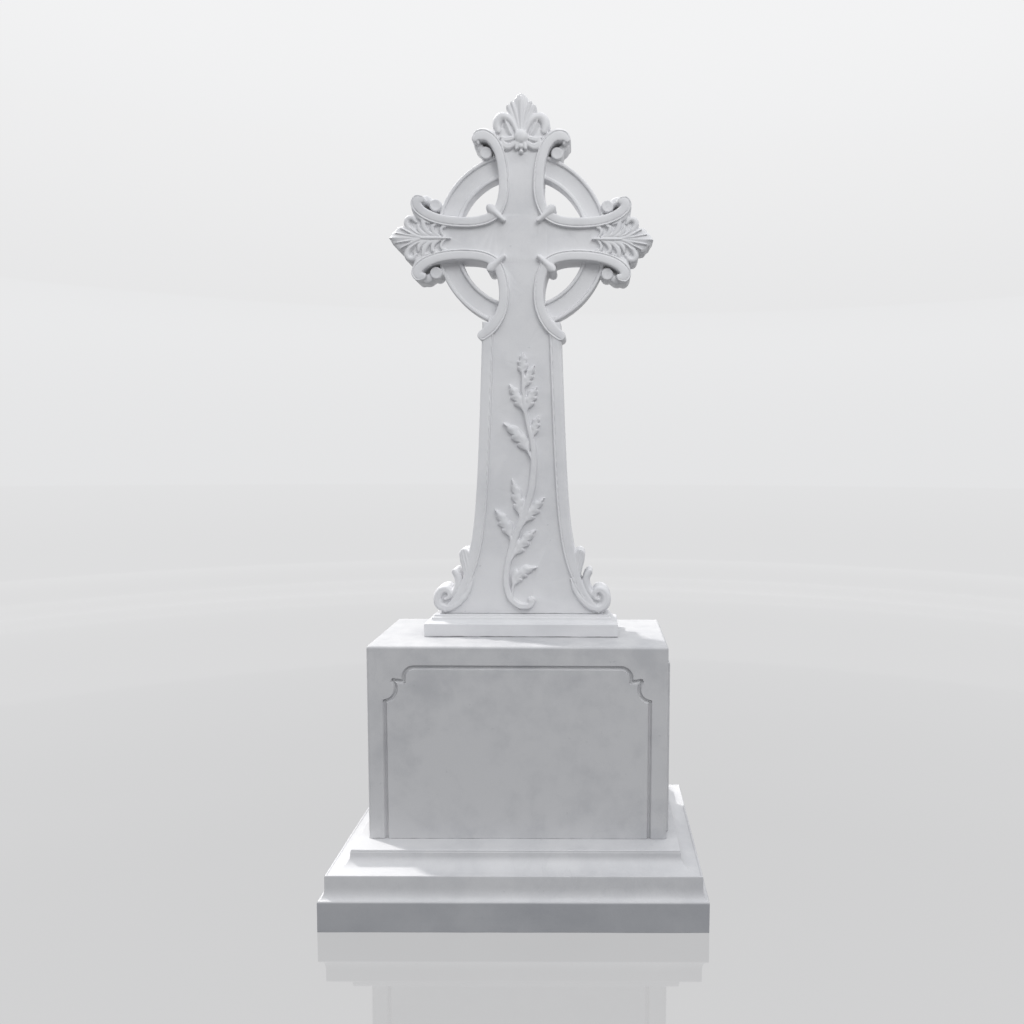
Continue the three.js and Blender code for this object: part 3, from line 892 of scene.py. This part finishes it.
def carve_arm_finials(carving):
    """Pointed lobe between two hooked lobes, with a sprig of curling leaflets at its root"""
    for sx in (-1, 1):
        middle = [(248, 0), (262, 0), (280, 0), (298, 0), (312, 0), (325, 0), (338, 0), (350, 0)]
        path = smooth_path(mirrored(middle, (sx, 1)), 6)
        lobe = widths([9, 12, 19, 28, 32.5, 31, 18, 1.2])
        carving.sweep(path, lobe, lambda w: both_faces(crest_half(w, 47, 36)))
        carving.sweep(path[8:], lambda t: lobe(0.2 + 0.8 * t) * 0.97,
                      lambda w: both_faces(dome_half(w, 42.5, 34)))
        for sz in (-1, 1):
            flip = (sx, sz)
            hook = [(250, 6), (272, 11), (292, 22), (303, 38), (299, 51), (287, 52), (279, 43)]
            leaflet(carving, flip, hook, [6, 7, 8, 8.5, 8.5, 7.5, 5], 45.5, 35, dome_half, through=True)
            back = [(256, 12), (270, 22), (282, 32)]
            leaflet(carving, flip, back, [6, 9, 8], 39, 32, dome_half, through=True)
            for rib in ([(262, 3), (284, 8), (304, 19)], [(258, 6), (278, 14), (292, 26)],
                        [(266, 2), (298, 7), (332, 13)], [(266, 2), (292, 13), (318, 26)]):
                leaflet(carving, flip, rib, [2.5, 2.9, 1.2], 47.5, 42, dome_half)
            carving.turned(sx * 290, sz * 41, [(0, -36), (14, -36), (14, 36), (0, 36)])
            sprig = (
                ([(199, 2), (208, 10), (212, 20), (208, 28), (201, 29)], [2, 4, 5, 4.6, 3]),
                ([(211, 4), (226, 11), (234, 21), (234, 31), (226, 35)], [2, 5, 6.2, 5.6, 3.4]),
                ([(224, 5), (244, 13), (256, 27), (259, 40), (262, 50)], [2.5, 6, 7.6, 6.4, 2.5]),
                ([(244, 6), (260, 12), (270, 22), (272, 33)], [2.5, 5.5, 6, 3.2]),
            )
            for points, values in sprig:
                leaflet(carving, flip, points, values, 49, 41.5)
        stem = smooth_path(mirrored([(187, 0), (205, 0), (228, 0), (252, 0), (266, 0)], (sx, 1)), 6)
        carving.sweep(stem, widths([1.4, 3.6, 4.6, 5, 2]), lambda w: front_only(dome_half(w, 50, 42)))


def carve_top_finial(carving):
    """Fluted fan over a boss, a curl on each side, and small leaves under the boss"""
    ground = widths([58, 66, 72, 66])
    carving.bar(215, 284, lambda z: ground((z - 215) / 69), 38, steps=12)
    fan = smooth_path([(0, 262), (0, 285), (0, 305), (0, 325), (0, 342), (0, 356), (0, 367), (0, 373)], 6)
    fan_width = widths([9, 11, 13, 16, 19, 20, 13, 1.5])
    carving.sweep(fan, fan_width, lambda w: both_faces(dome_half(w, 42, 34)))
    rib = smooth_path([(0, 270), (0, 310), (0, 350), (0, 366)], 6)
    carving.sweep(rib, widths([3, 5.5, 8, 2]), lambda w: both_faces(dome_half(w, 45.5, 38)))
    for sx in (-1, 1):
        flip = (sx, 1)
        flutes = (
            ([(4, 272), (9, 300), (17, 330), (24, 348)], [3, 5, 6.5, 6], 43.5),
            ([(7, 270), (14, 295), (25, 320), (33, 338)], [3, 5.5, 8, 7.5], 42.5),
        )
        for points, values, front in flutes:
            leaflet(carving, flip, points, values, front, 33, dome_half, through=True)
        curl = [(9, 268), (17, 288), (26, 303), (39, 312), (52, 313), (61, 304), (64, 291), (61, 280)]
        leaflet(carving, flip, curl, [5, 7.5, 9.5, 11.5, 13, 13, 12, 10], 46.5, 34, dome_half, through=True)
        back = [(24, 268), (34, 280), (46, 292)]
        leaflet(carving, flip, back, [14, 16, 14], 36, 32, dome_half, through=True)
        kite = [(22, 262), (30, 276), (37, 292), (42, 303)]
        leaflet(carving, flip, kite, [3, 9, 9, 2], 46, 39, crest_half, through=True)
        low = [(13, 250), (24, 240), (36, 236), (46, 242), (49, 252)]
        leaflet(carving, flip, low, [4, 8, 10, 8.5, 4.5], 49, 42)
        high = [(15, 259), (28, 256), (41, 254), (52, 260)]
        leaflet(carving, flip, high, [4, 7, 7, 3.5], 48.5, 42)
        drop = [(4, 248), (9, 241), (11, 233)]
        leaflet(carving, flip, drop, [4, 7, 5.5], 50.5, 43, dome_half)
    carving.knob(0.5, 223, -43, 6.2, 1.2)
    carving.knob(0, 237, -43, 8.5, 1.0)
    boss = [(0, 55), (6.5, 54.6), (12, 53), (15.6, 50.4), (17.9, 47), (18.5, 43)]
    carving.turned(0, 261, both_faces(boss))


STEM = [(4, -346), (5, -407), (14, -476), (31, -548), (31, -620), (18, -696), (-20, -797), (-42, -890),
        (-36, -950), (-16, -975), (4, -982), (21, -979), (28, -967)]

# Leaves of the vine: root, handle and tip of the midrib, half width, and 1 where the toothed side is
# to the right of the way it grows, or -1 to the left
VINE_LEAVES = [
    ((2, -374), (3, -340), (3, -297), 14, -1),
    ((5, -410), (7, -375), (35, -331), 13, 1),
    ((11, -470), (0, -430), (-33, -382), 16, -1),
    ((12, -470), (14, -430), (41, -388), 15, 1),
    ((31, -600), (16, -530), (-49, -485), 18, -1),
    ((31, -545), (30, -500), (45, -464), 12, 1),
    ((-8, -765), (2, -710), (-27, -635), 16, -1),
    ((-5, -775), (14, -735), (61, -685), 16, 1),
    ((-28, -820), (-28, -770), (-72, -718), 17, -1),
    ((-36, -870), (-16, -820), (38, -772), 17, 1),
    ((-23, -967), (-36, -885), (41, -875), 18, 1),
]


def carve_vine(carving):
    """Climbing stem with toothed leaves, in low relief on the field of the shaft"""
    front = 51
    stem = smooth_path(STEM, 8)
    carving.sweep(stem, widths([3.3, 4.4, 5.5, 7.7, 9.9, 9.9, 9.9, 8.8, 8.8, 8.8, 9.3, 9.3, 9.5]),
                  lambda w: front_only(fluted_half(w, front, 44, 1, 0.9)), round_end=True)
    carving.knob(25, -965, -44, 9.5, 0.8)
    for root, handle, tip, half, toothed in VINE_LEAVES:
        carve_leaf(carving, Vector(root), Vector(handle), Vector(tip), half, toothed, front)


def carve_leaf(carving, root, handle, tip, half, toothed, front):
    """Leaf blade: lines across it lean forward from the midrib to a toothed edge on each side"""
    def at(t):
        return root * (1 - t) ** 2 + handle * 2 * t * (1 - t) + tip * t * t

    envelope = widths([0.2, 0.2, 0.35, 0.9, 1, 0.8, 0.5, 0.05])
    blade_start, edge, buried, steps = 0.3, 43.5, 36, 64
    rings = []
    for i in range(steps + 1):
        t = i / steps
        point = at(t)
        way = (at(t + 0.01) - at(t - 0.01)).normalized()
        across = Vector((way.y, -way.x))
        ring = []
        for side in (-1, 1):
            teeth, bite = (3.6, 0.46) if side == toothed else (2.6, 0.3)
            phase = max(t - blade_start, 0) / (1 - blade_start) * teeth % 1
            reach = half * envelope(t) * (1 - bite + bite * math.sin(phase * math.pi * 0.72) ** 1.5 * 1.2)
            vein = 2.2 * math.exp(-((phase - 0.5) / 0.16) ** 2) * smoothstep(t, 0.3, 0.45)
            lean = 0.5 * reach * smoothstep(t, 0.25, 0.5) * (1 - smoothstep(t, 0.85, 1))
            line = []
            for k in (1, 0.92, 0.75, 0.5, 0.25, 0.08):
                height = edge + (front - edge) * (1 - k ** 2.6) ** 0.6 - vein * k * (1 - k) * 3
                place = point + across * (side * reach * k) + way * (lean * k)
                line.append((place.x, -height, place.y))
            rim = line[0]
            line = [(rim[0], -buried, rim[2])] + line
            ring += line if side < 0 else [(point.x, -(front - 1.8), point.y)] + line[::-1]
        rings.append(ring)
    carving.skin(rings)


class GRAVESTONE_OT_cross(bpy.types.Operator):
    """Carves the ringed cross and fuses its strips and leaves into one stone"""

    bl_idname = "gravestone.cross"
    bl_label = "Cross"

    def execute(self, context):
        sizes = context.scene.stone_sizes
        carving = Carving(HEAD_Z)
        for carve in (carve_field, carve_ring, carve_bands, carve_brackets, carve_eyes, carve_collars,
                      carve_borders, carve_scrolls, carve_arm_finials, carve_top_finial, carve_vine):
            carve(carving)
        cross = linked("carved_cross", carving.mesh("carved_cross"))
        finest = sizes.grain_cut * 1
        modify(cross, "REMESH", mode="VOXEL", voxel_size=finest, adaptivity=0)
        modify(cross, "SMOOTH", factor=0.5, iterations=2)
        triangles = 2 * len(cross.data.polygons)
        modify(cross, "DECIMATE", ratio=min(sizes.triangles / triangles, 1))
        saw_flat(cross, CROSS_LOW.z + 0.0002)
        # The dark line at the cross's lowest level is a painted shadow where it meets the foot
        material = marble("marble of the cross", context.scene.stone_finish, tone=1.06, cloud_amount=0.7,
                          joints=((CROSS_LOW.z, 0.0016, 0.6),))
        finish_stone(cross, "cross", material, angle=60)
        return {"FINISHED"}


# Studio


class GRAVESTONE_OT_studio(bpy.types.Operator):
    """Sets the pale floor, the soft lights and the camera"""

    bl_idname = "gravestone.studio"
    bl_label = "Studio"

    def execute(self, context):
        settings = context.scene.studio
        self.camera(context, settings)
        self.lights(context, settings)
        self.floor()
        context.scene.view_settings.view_transform = "Standard"
        return {"FINISHED"}

    def camera(self, context, settings):
        camera = linked("camera", bpy.data.cameras.new("camera"))
        camera.data.sensor_width = 36
        camera.data.lens = settings.lens
        camera.data.shift_x = (IMAGE_SIDE / 2 - settings.axis_x) / IMAGE_SIDE
        camera.data.shift_y = (settings.axis_y - IMAGE_SIDE / 2) / IMAGE_SIDE
        down, turn, roll = settings.camera_turn
        camera.matrix_world = (
            Matrix.Translation(settings.camera_place)
            @ Matrix.Rotation(turn, 4, "Z")
            @ Matrix.Rotation(math.pi / 2 - down, 4, "X")
            @ Matrix.Rotation(roll, 4, "Z")
        )
        context.scene.camera = camera

    def lights(self, context, settings):
        """Sun from behind on the left, a soft light above the camera, sky above and ground below"""
        world = bpy.data.worlds.new("studio")
        context.scene.world = world
        world.use_nodes = True
        tree = world.node_tree
        place = tree.nodes.new("ShaderNodeTexCoord")
        split = tree.nodes.new("ShaderNodeSeparateXYZ")
        rise = tree.nodes.new("ShaderNodeMapRange")
        rise.interpolation_type = "SMOOTHSTEP"
        for socket, value in zip(rise.inputs[1:5], (-0.2, 0.7, settings.ground, settings.sky)):
            socket.default_value = value
        background = tree.nodes["Background"]
        background.inputs["Color"].default_value = (0.965, 0.98, 1, 1)
        tree.links.new(place.outputs["Generated"], split.inputs[0])
        tree.links.new(split.outputs["Z"], rise.inputs["Value"])
        tree.links.new(rise.outputs[0], background.inputs["Strength"])
        sun = linked("sun", bpy.data.lights.new("sun", "SUN"))
        sun.data.energy = settings.sun
        sun.data.angle = math.radians(4)
        sun.data.color = (1, 0.98, 0.95)
        sun.rotation_euler = Vector((0.60, -0.39, -0.85)).to_track_quat("-Z", "Y").to_euler()
        softbox = linked("softbox", bpy.data.lights.new("softbox", "AREA"))
        softbox.data.energy = settings.softbox
        softbox.data.size = 1.6
        softbox.location = (1.3, -2.6, 3.6)
        towards = Vector((0, 0, 1.2)) - softbox.location
        softbox.rotation_euler = towards.to_track_quat("-Z", "Y").to_euler()

    def floor(self):
        """Pale floor that sweeps up into the backdrop on every side"""
        radius, sweep, rise = 9, 3.5, 12
        outline = [(0.01, 0), (3, 0), (radius - sweep, 0)]
        outline += [(radius - sweep + sweep * math.sin(turn), sweep - sweep * math.cos(turn))
                    for turn in (math.pi / 2 * i / 12 for i in range(1, 13))]
        outline += [(radius, rise)]
        mesh = bpy.data.meshes.new("floor")
        mesh.from_pydata([(x, 0, z) for x, z in outline], [(i, i + 1) for i in range(len(outline) - 1)], [])
        floor = linked("floor", mesh)
        edit_all(floor)
        bpy.ops.mesh.spin(steps=96, angle=math.tau, center=(0, 0, 0), axis=(0, 0, 1))
        bpy.ops.mesh.select_all(action="SELECT")
        bpy.ops.mesh.remove_doubles(threshold=0.0005)
        bpy.ops.mesh.normals_make_consistent(inside=True)
        bpy.ops.object.mode_set(mode="OBJECT")
        bpy.ops.object.shade_smooth_by_angle(angle=math.radians(40))
        graph = Graph("studio floor")
        # The floor glows with painted light instead of being lit: its emission is darker at the middle of the
        # floor and brighter up the sweep
        away = graph.node("ShaderNodeMath", {"operation": "SQRT"}, {0: graph.x * graph.x + graph.y * graph.y})
        color = graph.mix(away.between(-1, 7), (0.56, 0.56, 0.565, 1), (0.70, 0.70, 0.705, 1))
        color = graph.mix(graph.z.between(-0.5, 6.5), color, (0.88, 0.88, 0.885, 1))
        graph.set("Base Color", (0, 0, 0, 1))
        graph.set("Specular IOR Level", 0)
        graph.set("Emission Color", color)
        graph.set("Emission Strength", 1)
        graph.set("Coat Weight", 1)
        graph.set("Coat Roughness", 0.04)
        graph.set("Coat IOR", 2.05)
        floor.data.materials.append(graph.material)
        floor.visible_diffuse = False
        floor.visible_shadow = False


class GRAVESTONE_PT_panel(bpy.types.Panel):
    """Lists the stones and their settings"""

    bl_label = "Gravestone"
    bl_idname = "GRAVESTONE_PT_panel"
    bl_space_type = "VIEW_3D"
    bl_region_type = "UI"
    bl_category = "Gravestone"

    def draw(self, context):
        for group in (context.scene.stone_sizes, context.scene.stone_finish, context.scene.studio):
            box = self.layout.box()
            for name in group.__annotations__:
                box.prop(group, name)
        for operator in OPERATORS:
            self.layout.operator(operator.bl_idname)


OPERATORS = (GRAVESTONE_OT_base, GRAVESTONE_OT_die, GRAVESTONE_OT_foot, GRAVESTONE_OT_cross,
             GRAVESTONE_OT_studio)
CLASSES = (StoneSizes, StoneFinish, StudioSettings, *OPERATORS, GRAVESTONE_PT_panel)


def register():
    for cls in CLASSES:
        bpy.utils.register_class(cls)
    bpy.types.Scene.stone_sizes = bpy.props.PointerProperty(type=StoneSizes)
    bpy.types.Scene.stone_finish = bpy.props.PointerProperty(type=StoneFinish)
    bpy.types.Scene.studio = bpy.props.PointerProperty(type=StudioSettings)


def unregister():
    del bpy.types.Scene.stone_sizes
    del bpy.types.Scene.stone_finish
    del bpy.types.Scene.studio
    for cls in reversed(CLASSES):
        bpy.utils.unregister_class(cls)


def main():
    register()
    bpy.ops.gravestone.base()
    bpy.ops.gravestone.die()
    bpy.ops.gravestone.foot()
    bpy.ops.gravestone.cross()
    bpy.ops.gravestone.studio()


if __name__ == "__main__":
    main()
